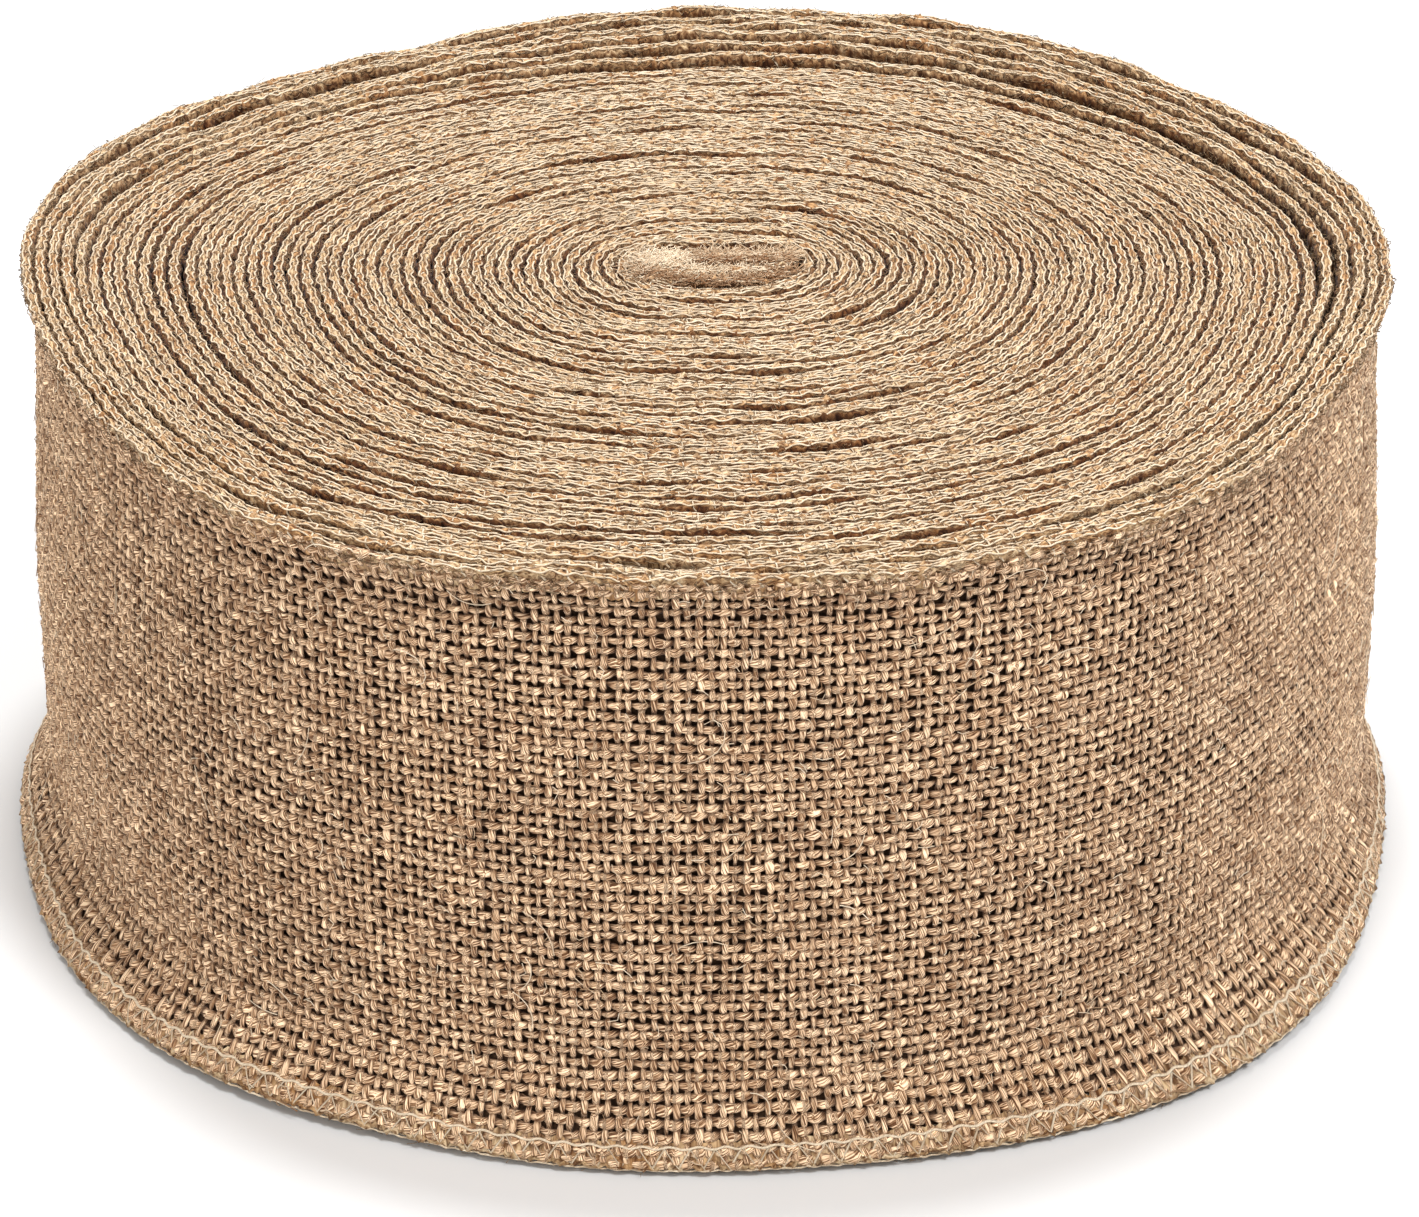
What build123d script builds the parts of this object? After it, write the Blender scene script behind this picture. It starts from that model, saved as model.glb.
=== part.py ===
"""Roll of overlocked burlap ribbon, wound on itself with no core, hub or flanges.

The ribbon is one woven strip with an overlocked hem along each long edge. Its inner end is folded
into flat plies, and the rest is wound round them, anticlockwise seen from above, tight at the front
and slack in the last turns at the back. The roll is parted into nested coils of a few turns each,
which slip along the axis on one another, and the last stretch of the outermost turn is a chain of
short segments, hinged to one another, which peels off the roll. The top hems follow every turn. The
cloth of a coil and its bottom hem, which carry the roll, are one bundle of turns each.

Frame: millimetres, +Z along the winding axis, origin at the centre of the bottom face.
An angle of the winding is in degrees anticlockwise from +X, and goes on rising turn after turn.
"""

import os
from math import cos, degrees, radians, sin

from build123d import *

# Driving dimensions
ribbon_width = 127.0  # across the ribbon, which is the roll's height
roll_width = 281.0  # the roll from side to side, over the hems
web_thickness = 1.4  # woven cloth, over the yarn crossings
hem_thickness = 2.04  # cloth and overlock threads together
hem_height = 6.4  # from the ribbon's edge to the needle line

# Winding: half circles on the left and right, with a short straight between them, front and back
inner_straight = 14.0  # round the folded end
outer_straight = 3.0  # where the winding has become almost round
half_turns = 94
start_angle = 160.0
front_pitch = 2.73  # from one turn to the next at the front
back_pitch = 2.49  # and at the back
loose_pitch = 4.9  # at the back, between the last few turns
tight_turns = 41  # turns inside the loose ones
turns_per_coil = 5
outer_coils = 8  # coils of that many turns, outside the innermost one
tail_segments = 8
segment_angle = 20.0
end_gap = 0.25  # kept free at each end of a stretch that moves on its own

# Folded inner end
fold_plies = 7
ply_spacing = 2.5
ply_length = 22.0

# Derived
end_angle = start_angle + half_turns * 180
tail_angle = end_angle - tail_segments * segment_angle
inner_coil_end = tail_angle - outer_coils * turns_per_coil * 360


def back_growth(turn):
    """Distance at the back from the first turn to a later one."""
    return back_pitch * min(turn, tight_turns) + loose_pitch * max(0, turn - tight_turns)


def half_turn_growth(number):
    """How much further apart the front and back ends of a half turn are than the first one's."""
    return back_growth((number + 1) // 2) + front_pitch * (number // 2)


def half_straight(number):
    """Half the length of the straight beside a half turn."""
    return (inner_straight + (outer_straight - inner_straight) * number / half_turns) / 2


# the outermost half turns, left and right, set the roll's width, and so its inner radius and middle
left_reach = half_turn_growth(half_turns - 2) / 2 + half_straight(half_turns - 2)
right_reach = half_turn_growth(half_turns - 1) / 2 + half_straight(half_turns - 1)
inner_radius = (roll_width - hem_thickness - left_reach - right_reach) / 2
fold_x = (left_reach - right_reach) / 2
fold_y = (front_pitch * (half_turns // 2 - 1) - back_growth(half_turns // 2)) / 2


def half_turn(number):
    """Centre and radius of one half turn at the strip's middle, counted from the inside."""
    radius = inner_radius + half_turn_growth(number) / 2
    x = fold_x + (-1 if number % 2 == 0 else 1) * half_straight(number)
    y = fold_y + (back_growth((number + 1) // 2) - front_pitch * (number // 2)) / 2
    return Vector(x, y), radius


def half_turn_number(angle):
    """Number of the half turn that an angle of the winding lies in."""
    return int((angle - 90) // 180)


def point_on(number, angle, offset):
    """Point of one half turn, offset outwards from the strip's middle."""
    centre, radius = half_turn(number)
    return centre + Vector(radius + offset, 0).rotate(Axis.Z, angle % 360)


def strip_point(angle, offset):
    """Point at an angle of the winding, offset outwards from the strip's middle."""
    return point_on(half_turn_number(angle), angle, offset)


def spiral(start, stop, offset):
    """Tangent arcs and straights along the strip, offset outwards from its middle."""
    angle = start
    while angle < stop:
        number = half_turn_number(angle)
        centre, radius = half_turn(number)
        arc_end = min(stop, 270 + number * 180)
        CenterArc(centre, radius + offset, angle % 360, arc_end - angle)
        if arc_end < stop:
            Line(point_on(number, arc_end, offset), point_on(number + 1, arc_end, offset))
        angle = arc_end


def gap_angle(angle):
    """The end gap, as an angle, at the radius where a stretch starts or stops."""
    return degrees(end_gap / half_turn(half_turn_number(angle))[1])


def wound_outline(start, stop, thickness):
    """Outline of the wound strip, seen along the axis, between two angles of the winding."""
    low, high = start + gap_angle(start), stop - gap_angle(stop)
    inner, outer = -thickness / 2, thickness / 2
    with BuildSketch() as outline:
        with BuildLine():
            spiral(low, high, outer)
            spiral(low, high, inner)
            Line(strip_point(low, outer), strip_point(low, inner))
            Line(strip_point(high, outer), strip_point(high, inner))
        make_face()
    return outline.sketch


def one_turn_outline(start, offset):
    """Area inside one turn of the strip, with a step where the turn meets itself."""
    with BuildSketch() as outline:
        with BuildLine():
            spiral(start, start + 360, offset)
            Line(strip_point(start, offset), strip_point(start + 360, offset))
        make_face()
    return outline.sketch


def bundle_outline(start, stop, thickness):
    """Outline of a coil's turns as one bundle, from its first turn's inside to its last one's outside."""
    with BuildSketch() as outline:
        add(one_turn_outline(stop - gap_angle(stop) - 360, thickness / 2))
        add(one_turn_outline(start + gap_angle(start), -thickness / 2), mode=Mode.SUBTRACT)
    return outline.sketch


def folded_outline(thickness):
    """Outline of the folded inner end, which leads out to where the first turn starts."""
    left, right = fold_x - ply_length / 2, fold_x + ply_length / 2
    first_turn = strip_point(start_angle, 0)
    bend = radians(start_angle - 90)
    with BuildSketch() as outline:
        with BuildLine():
            for ply in range(fold_plies):
                y = fold_y + (ply - (fold_plies - 1) / 2) * ply_spacing
                Line((left, y), (right, y))
                if ply < fold_plies - 1:
                    fold_end, sweep = (left, -180) if ply % 2 == 0 else (right, 180)
                    CenterArc((fold_end, y + ply_spacing / 2), ply_spacing / 2, -90, sweep)
            lead_radius = (y - first_turn.Y) / (1 - cos(bend))
            lead_x = first_turn.X + lead_radius * sin(bend)
            Line((left, y), (lead_x, y))
            CenterArc((lead_x, y - lead_radius), lead_radius, 90, start_angle - 90)
        trace(line_width=thickness)
    return outline.sketch


def save(part, name):
    """Labels a finished piece and writes it as the node of that name."""
    part.label = name
    export_step(part, f"parts/{name}.step")


def save_band(name, outline, low, high):
    """A stretch of the ribbon between two heights, from its outline seen along the axis."""
    with BuildPart() as band:
        with BuildSketch(Plane.XY.offset(low)):
            add(outline)
        extrude(amount=high - low)
    save(band.part, name)


def save_cloth(name, outline):
    """Woven cloth between the two hems."""
    save_band(f"{name}_web", outline, hem_height, ribbon_width - hem_height)


def save_top_hem(name, outline):
    """Top edge of the cloth, inside its overlock threads."""
    save_band(f"{name}_top_hem", outline, ribbon_width - hem_height, ribbon_width)


def save_bottom_hem(name, outline):
    """Bottom edge of the cloth, inside its overlock threads, which the roll stands on."""
    save_band(f"{name}_bottom_hem", outline, 0, hem_height)


def save_coil(name, start, stop):
    """A nested coil: its turns' cloth and bottom hems as bundles, and its top hem turn by turn."""
    save_cloth(name, bundle_outline(start, stop, web_thickness))
    save_top_hem(name, wound_outline(start, stop, hem_thickness))
    save_bottom_hem(name, bundle_outline(start, stop, hem_thickness))


def save_tail_segment(name, start, stop):
    """A short stretch of the free end."""
    save_cloth(name, wound_outline(start, stop, web_thickness))
    save_top_hem(name, wound_outline(start, stop, hem_thickness))
    save_bottom_hem(name, wound_outline(start, stop, hem_thickness))


def save_folded_end():
    """Inner end of the ribbon, in flat plies."""
    save_cloth("folded_end", folded_outline(web_thickness))
    save_top_hem("folded_end", folded_outline(hem_thickness))
    save_bottom_hem("folded_end", folded_outline(hem_thickness))


os.makedirs("parts", exist_ok=True)

save_folded_end()

save_coil("coil_1", start_angle, inner_coil_end)
for coil in range(outer_coils):
    coil_start = inner_coil_end + coil * turns_per_coil * 360
    save_coil(f"coil_{coil + 2}", coil_start, coil_start + turns_per_coil * 360)

for segment in range(tail_segments):
    segment_start = tail_angle + segment * segment_angle
    save_tail_segment(f"tail_{segment + 1}", segment_start, segment_start + segment_angle)
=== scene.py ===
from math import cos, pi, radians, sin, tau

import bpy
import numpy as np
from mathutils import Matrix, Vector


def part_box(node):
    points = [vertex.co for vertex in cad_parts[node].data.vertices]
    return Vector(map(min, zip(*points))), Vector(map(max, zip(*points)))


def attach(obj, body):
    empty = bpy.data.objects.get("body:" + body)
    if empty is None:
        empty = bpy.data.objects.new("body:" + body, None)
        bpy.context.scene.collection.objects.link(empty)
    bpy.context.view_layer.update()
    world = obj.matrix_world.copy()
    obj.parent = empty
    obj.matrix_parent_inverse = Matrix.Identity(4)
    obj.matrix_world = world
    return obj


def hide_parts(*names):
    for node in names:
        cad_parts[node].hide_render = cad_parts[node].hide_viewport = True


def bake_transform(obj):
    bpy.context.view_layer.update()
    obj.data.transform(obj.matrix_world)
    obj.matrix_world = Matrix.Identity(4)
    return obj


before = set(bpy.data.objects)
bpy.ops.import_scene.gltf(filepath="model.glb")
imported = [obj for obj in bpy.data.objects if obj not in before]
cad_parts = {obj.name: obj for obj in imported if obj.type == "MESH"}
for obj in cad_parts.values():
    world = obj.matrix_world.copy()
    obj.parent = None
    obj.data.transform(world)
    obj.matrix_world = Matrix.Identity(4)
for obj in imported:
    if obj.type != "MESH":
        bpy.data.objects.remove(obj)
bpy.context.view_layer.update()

# Looks of the burlap ribbon roll. The strip follows one path, from its folded inner end to its free
# end: every turn has its cloth and its stitched hems, and the outermost turn is woven yarn by yarn.
# Metres, in the CAD model's frame.

random = np.random.default_rng(23)
MM = 0.001

# ---------------------------------------------------------------- sizes

RIBBON_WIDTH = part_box("coil_9_top_hem")[1][2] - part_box("coil_9_bottom_hem")[0][2]
ROLL_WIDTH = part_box("coil_9_top_hem")[1][0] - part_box("coil_9_top_hem")[0][0]
HEM_THICKNESS = 2.04 * MM

# the winding, as in the CAD model
INNER_STRAIGHT, OUTER_STRAIGHT = 14 * MM, 3 * MM
HALF_TURNS = 94
START_ANGLE = 160
FRONT_PITCH, BACK_PITCH, LOOSE_PITCH = 2.73 * MM, 2.49 * MM, 4.9 * MM
TIGHT_TURNS = 41
COILS, TURNS_PER_COIL = 9, 5
TAIL_SEGMENTS, SEGMENT_ANGLE = 8, 20
FOLD_PLIES, PLY_SPACING, PLY_LENGTH = 7, 2.5 * MM, 25 * MM
END_ANGLE = START_ANGLE + HALF_TURNS * 180
TAIL_ANGLE = END_ANGLE - TAIL_SEGMENTS * SEGMENT_ANGLE
COIL_ANGLE = TURNS_PER_COIL * 360

# the cloth
YARN_PITCH = 2.2 * MM
STITCH = 5.0 * MM
LONG_LEG, SHORT_LEG = 4.7 * MM, 2.2 * MM  # from the edge to where a stitch's leg ends on one face
RAMP_ANGLE = 20  # each side of where one coil goes over into the next

# ---------------------------------------------------------------- the strip's path


def back_growth(turn):
    """Distance at the back from the first turn to a later one."""
    return BACK_PITCH * min(turn, TIGHT_TURNS) + LOOSE_PITCH * max(0, turn - TIGHT_TURNS)


def half_turn_growth(number):
    """How much further apart the front and back ends of a half turn are than the first one's."""
    return back_growth((number + 1) // 2) + FRONT_PITCH * (number // 2)


def half_straight(number):
    """Half the length of the straight beside a half turn."""
    return (INNER_STRAIGHT + (OUTER_STRAIGHT - INNER_STRAIGHT) * number / HALF_TURNS) / 2


def reach(number):
    """How far a half turn reaches to its side, beyond the innermost radius."""
    return half_turn_growth(number) / 2 + half_straight(number)


LEFT_REACH, RIGHT_REACH = reach(HALF_TURNS - 2), reach(HALF_TURNS - 1)
INNER_RADIUS = (ROLL_WIDTH - HEM_THICKNESS - LEFT_REACH - RIGHT_REACH) / 2
FOLD_X = (LEFT_REACH - RIGHT_REACH) / 2
FOLD_Y = (FRONT_PITCH * (HALF_TURNS // 2 - 1) - back_growth(HALF_TURNS // 2)) / 2


class Path:
    """The strip's middle line seen from above, as runs of constant curvature, by length along it."""

    def __init__(self):
        first_y = FOLD_Y - (FOLD_PLIES - 1) / 2 * PLY_SPACING
        self.runs = []  # length at the start, x, y, heading, curvature
        self.length, self.heading = 0.0, pi
        self.x, self.y = FOLD_X + PLY_LENGTH / 2, first_y
        self.angle_marks = []  # length and winding angle, for looking one up from the other
        self.fold()
        self.wind()
        self.table = np.array(self.runs)

    def run(self, length, curvature=0.0):
        """Goes on by a length, straight or bent to the left."""
        self.runs.append((self.length, self.x, self.y, self.heading, curvature))
        turned = self.heading + curvature * length
        if curvature:
            self.x += (sin(turned) - sin(self.heading)) / curvature
            self.y -= (cos(turned) - cos(self.heading)) / curvature
        else:
            self.x += length * cos(self.heading)
            self.y += length * sin(self.heading)
        self.length += length
        self.heading = turned

    def fold(self):
        """The flat plies, and the lead out to where the winding starts."""
        for ply in range(FOLD_PLIES - 1):
            self.run(PLY_LENGTH)
            side = -1 if ply % 2 == 0 else 1
            self.run(pi * PLY_SPACING / 2, side * 2 / PLY_SPACING)
        bend = radians(START_ANGLE - 90)
        first_x = FOLD_X - half_straight(0) + INNER_RADIUS * cos(radians(START_ANGLE))
        first_y = FOLD_Y + INNER_RADIUS * sin(radians(START_ANGLE))
        lead_radius = (self.y - first_y) / (1 - cos(bend))
        self.run(self.x - first_x - lead_radius * sin(bend))
        self.run(lead_radius * bend, 1 / lead_radius)

    def wind(self):
        """The half turns, with the straights between them."""
        angle = START_ANGLE
        for number in range(HALF_TURNS + 1):
            radius = INNER_RADIUS + half_turn_growth(number) / 2
            stop = min(END_ANGLE, 270 + number * 180)
            self.angle_marks.append((self.length, angle))
            self.run(radius * radians(stop - angle), 1 / radius)
            self.angle_marks.append((self.length, stop))
            if stop < END_ANGLE:
                self.run(half_straight(number) + half_straight(number + 1))
            angle = stop

    def at(self, length):
        """Points and outward normals at lengths along the path."""
        length = np.asarray(length, float)
        index = np.searchsorted(self.table[:, 0], length, side="right") - 1
        start, x, y, heading, curvature = np.moveaxis(self.table[np.clip(index, 0, None)], -1, 0)
        along = length - start
        turned = heading + curvature * along
        bent = np.abs(curvature) > 0
        k = np.where(bent, curvature, 1.0)
        dx = np.where(bent, (np.sin(turned) - np.sin(heading)) / k, along * np.cos(heading))
        dy = np.where(bent, -(np.cos(turned) - np.cos(heading)) / k, along * np.sin(heading))
        return x + dx, y + dy, np.sin(turned), -np.cos(turned)

    def at_angle(self, angle):
        """Length along the path at an angle of the winding."""
        marks = np.array(self.angle_marks)
        return float(np.interp(angle, marks[:, 1] + np.arange(len(marks)) * 1e-9, marks[:, 0]))

    def angle_at(self, length):
        """Angle of the winding at lengths along the path."""
        marks = np.array(self.angle_marks)
        return np.interp(length, marks[:, 0], marks[:, 1])


path = Path()

# ---------------------------------------------------------------- slack and unevenness

# gaps between turns: turn, direction in degrees, half width in degrees, gap
GAPS = (
    (34.5, 185, 50, 0.7 * MM),
    (42.6, 8, 40, 2.0 * MM),
    (45.8, 270, 60, -1.2 * MM),
    (40.8, 272, 35, 1.0 * MM),
    (34.8, 275, 30, 0.9 * MM),
    (44.4, 60, 50, 1.2 * MM),
    (24.5, 250, 40, 1.2 * MM),
    (14.5, 285, 60, 1.3 * MM),
    (30.5, 20, 45, 1.2 * MM),
    (37.5, 235, 35, 1.5 * MM),
    (20.5, 110, 50, 1.0 * MM),
    (7.5, 330, 50, 1.0 * MM),
)
# where the roll's outline swells or is pressed in: direction, half width in degrees, size at the last turn
SWELLS = (
    (70, 45, 5.5 * MM),
    (160, 34, 5.0 * MM),
    (201, 38, -6.8 * MM),
    (15, 32, 2.8 * MM),
    (-18, 34, -4.5 * MM),
)
# where the last few turns stand higher, and where the foot spreads further, in the same terms
LIFTS = ((75, 75, 3.0 * MM), (158, 42, 0.9 * MM))
FOOT_SPREADS = ((-40, 46, 8.5 * MM), (205, 48, 10.0 * MM))
# where the wall is less hollow, as a share of its hollow; above 1 it swells instead
FULL_SIDES = ((192, 60, 2.6), (-8, 45, 2.0))
# where the folded end lies, away from the even winding's middle, with the turns round it following it
OFF_CENTRE = np.array([4.0, 4.0]) * MM
# turns that bunch and part: how often round the roll, change from turn to turn, start, size
BUNCHES = (
    (2, 0.71, 0.4, 0.42 * MM),
    (3, -0.93, 2.1, 0.34 * MM),
    (5, 1.21, 4.0, 0.22 * MM),
    (1, 0.55, 1.3, 0.5 * MM),
)
WAVER = 0.24 * MM  # of every turn, besides the bunches
SIDE_PRESS = 5.5 * MM
END_PRESS, END_PRESS_ANGLE = 2.3 * MM, 75  # how far the free end lies in, and over how many degrees
WALL_HOLLOW, WALL_SWAY = 2.2 * MM, 0.9 * MM
FOOT_FLARE, FOOT_HEIGHT = 8.6 * MM, 0.22  # the height as a share of the ribbon's width
LIP = 1.0 * MM  # how far the top edge leans out
LAST_TURN = (END_ANGLE - START_ANGLE) / 360
LAST_TURN_START = path.at_angle(END_ANGLE - 400)


def smooth(x):
    """From 0 to 1, easing in and out."""
    x = np.clip(x, 0, 1)
    return x * x * (3 - 2 * x)


def waves(x, wavelengths, seed):
    """Uneven rise and fall between about -1 and 1."""
    phase = np.random.default_rng(seed).uniform(0, tau, len(wavelengths))
    return sum(np.sin(tau * x / w + p) for w, p in zip(wavelengths, phase)) / len(wavelengths) ** 0.5


def window(angle, direction, half_width):
    """One towards a direction, and falling smoothly to nothing half a width away."""
    return smooth(1 - np.abs((angle - direction + 180) % 360 - 180) / half_width)


def sum_of(parts, angle):
    """What several local unevennesses add up to at an angle."""
    return sum(size * window(angle, direction, half_width) for direction, half_width, size in parts)


def slack(length, turn):
    """How far the strip stands outwards from the even winding, at a length along it."""
    angle = turn * 360 + START_ANGLE
    sideways = np.cos(np.radians(angle)) ** 2
    shift = WAVER * waves(length, (0.021, 0.037, 0.061, 0.113, 0.187), 3)
    for round_roll, per_turn, start, size in BUNCHES:
        shift = shift + size * np.sin(round_roll * np.radians(angle) + per_turn * turn + start)
    # less of it in the first turns, at the sides and in the last turns
    shift = shift * smooth(turn / 3) * (1 - 0.55 * sideways)
    shift = shift * (1 - 0.8 * smooth((turn - LAST_TURN + 3.5) / 2))
    # at the sides the last turns are pressed together, and those inside them are looser
    from_last = (LAST_TURN + 1 - turn) / (LAST_TURN - TIGHT_TURNS + 1)
    shift = shift + SIDE_PRESS * sideways * np.minimum(turn / TIGHT_TURNS, from_last)
    shift = shift - END_PRESS * smooth((angle - END_ANGLE + END_PRESS_ANGLE) / END_PRESS_ANGLE)
    for gap_turn, direction, half_width, size in GAPS:
        outside = turn - gap_turn
        spread = np.where(outside > 0, 0.5 * np.exp(-outside / 6), -0.5 * np.exp(outside / 9))
        shift = shift + window(angle, direction, half_width) * size * spread * smooth(np.abs(outside) * 2)
    return shift + sum_of(SWELLS, angle) * (turn / LAST_TURN) ** 1.5


def flare(turn, angle, z):
    """The wall is hollow between its hems, and its foot spreads, most at the outermost turn."""
    height = z / RIBBON_WIDTH
    full_sides = sum_of(FULL_SIDES, angle) * smooth((1 - height) / 0.6)
    hollow = -WALL_HOLLOW * (1 - full_sides) * smooth(height / 0.2) * smooth((1 - height) / 0.09)
    foot = (FOOT_FLARE + sum_of(FOOT_SPREADS, angle)) * smooth(1 - height / FOOT_HEIGHT) ** 3
    lip = LIP * smooth((height - 0.9) / 0.1)
    sway = WALL_SWAY * waves(np.radians(angle % 360) * 0.14, (0.21, 0.33, 0.13), 9) * smooth(height / 0.3)
    return (hollow + foot + lip + sway) * np.exp((turn - LAST_TURN) / 2.5)


def rise(length):
    """How far the strip's top edge stands above the even level."""
    angle = path.angle_at(length)
    loose = smooth((angle - START_ANGLE - TIGHT_TURNS * 360) / 700)
    uneven = (0.42 + 0.3 * loose) * MM * waves(length, (0.026, 0.047, 0.097, 0.151, 0.31), 5)
    return uneven + loose * sum_of(LIFTS, angle)


def foot_lift(length):
    """How far the strip's bottom edge stands above the table."""
    outermost = smooth((length - LAST_TURN_START) / 0.1)
    return outermost * (0.9 + 0.4 * waves(length, (0.11, 0.19), 6)) * MM


def place(length, out, z):
    """Points of the strip: at a length along it, at a distance out of its middle, at a height."""
    x, y, nx, ny = path.at(length)
    angle = path.angle_at(length)
    turn = (angle - START_ANGLE) / 360
    out = out + slack(length, turn) + flare(turn, angle, z)
    shift_x, shift_y = OFF_CENTRE[:, *[None] * np.ndim(turn)] * np.clip(1 - turn / TIGHT_TURNS, 0, 1)
    return np.stack([x + nx * out + shift_x, y + ny * out + shift_y, z], -1)


def as_is(x, y, z):
    return np.stack([x, y, z], -1)


# ---------------------------------------------------------------- meshes


TAGS = ("along", "around", "tone", "exposed")
NEAR_ZERO = 1e-9
ALL_ROUND = (0.0, tau)
OUTWARD_HALF = (-0.25, pi + 0.25)


class Strands:
    """Collects tubes and strips as quads, with where along and around its strand each point is."""

    def __init__(self):
        self.points, self.quads, self.tags, self.count = [], [], [], 0

    def grid(self, points, tags, closed_v=False):
        """Adds (..., along, around, 3) points, joined to their neighbours, with a tag for each channel."""
        shape = points.shape[:-1]
        nu, nv = shape[-2:]
        index = np.arange(int(np.prod(shape))).reshape(-1, nu, nv)
        v = np.arange(nv if closed_v else nv - 1)
        w = (v + 1) % nv
        a, b = index[:, :-1][:, :, v], index[:, 1:][:, :, v]
        c, d = index[:, 1:][:, :, w], index[:, :-1][:, :, w]
        self.quads.append(np.stack([a, d, c, b], -1).reshape(-1, 4) + self.count)
        self.points.append(points.reshape(-1, 3))
        self.tags.append(np.broadcast_to(tags, (*shape, len(TAGS))).reshape(-1, len(TAGS)))
        self.count += index.size

    def tubes(
        self, length, out, z, radius, sides, tone, flat=1.0, arc=ALL_ROUND, buried=None, to_space=place
    ):
        """Tubes round centre lines (strand, along) in the strip's coordinates, oval by flat.

        Where buried is a depth, the tubes' points are tagged by how far out of it they stand, which the
        yarn colour turns into painted shade.
        """
        centre = np.stack([length, out, z], -1)
        ahead = np.gradient(centre, axis=-2)
        ahead /= np.maximum(np.linalg.norm(ahead, axis=-1, keepdims=True), NEAR_ZERO)
        outward = np.broadcast_to(np.array([0.0, 1.0, 0.0]), centre.shape)
        # a strand that runs outwards is framed by the height instead
        steep = np.abs(ahead[..., 1:2]) > 0.8
        outward = np.where(steep, np.array([0.0, 0.0, 1.0]), outward)
        side = np.cross(ahead, outward)
        side /= np.maximum(np.linalg.norm(side, axis=-1, keepdims=True), NEAR_ZERO)
        outward = np.cross(side, ahead)
        closed = arc == ALL_ROUND
        around = np.linspace(arc[0], arc[1], sides + (not closed), endpoint=not closed)
        radius = np.broadcast_to(np.asarray(radius, float), length.shape)[..., None, None]
        ring = side[..., None, :] * np.cos(around)[:, None] * radius
        ring = ring + outward[..., None, :] * np.sin(around)[:, None] * radius * flat
        at = centre[..., None, :] + ring
        steps = np.linalg.norm(np.diff(centre, axis=-2), axis=-1)
        run = np.concatenate([np.zeros_like(steps[..., :1]), np.cumsum(steps, -1)], -1)
        tags = np.stack(
            np.broadcast_arrays(
                run[..., None] * np.ones(len(around)),
                around * np.ones_like(run)[..., None],
                np.broadcast_to(np.asarray(tone, float), length.shape)[..., None] * np.ones(len(around)),
                np.clip(0.5 + at[..., 1] / buried, 0, 1) if buried else np.ones(at.shape[:-1]),
            ),
            -1,
        )
        self.grid(to_space(at[..., 0], at[..., 1], at[..., 2]), tags, closed)

    def piece(self, name, material, slot):
        mesh = bpy.data.meshes.new(name)
        points, quads = np.concatenate(self.points), np.concatenate(self.quads)
        tags = np.concatenate(self.tags)
        mesh.vertices.add(len(points))
        mesh.vertices.foreach_set("co", points.astype(np.float32).ravel())
        mesh.loops.add(quads.size)
        mesh.loops.foreach_set("vertex_index", quads.astype(np.int32).ravel())
        mesh.polygons.add(len(quads))
        mesh.polygons.foreach_set("loop_start", np.arange(0, quads.size, 4, dtype=np.int32))
        mesh.polygons.foreach_set("use_smooth", np.ones(len(quads), bool))
        for channel, label in enumerate(TAGS):
            attribute = mesh.attributes.new(label, "FLOAT", "POINT")
            attribute.data.foreach_set("value", tags[:, channel].astype(np.float32))
        mesh.update(calc_edges=True)
        mesh.materials.append(material)
        piece = bpy.data.objects.new(name, mesh)
        bpy.context.scene.collection.objects.link(piece)
        return piece


# ---------------------------------------------------------------- materials


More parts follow.
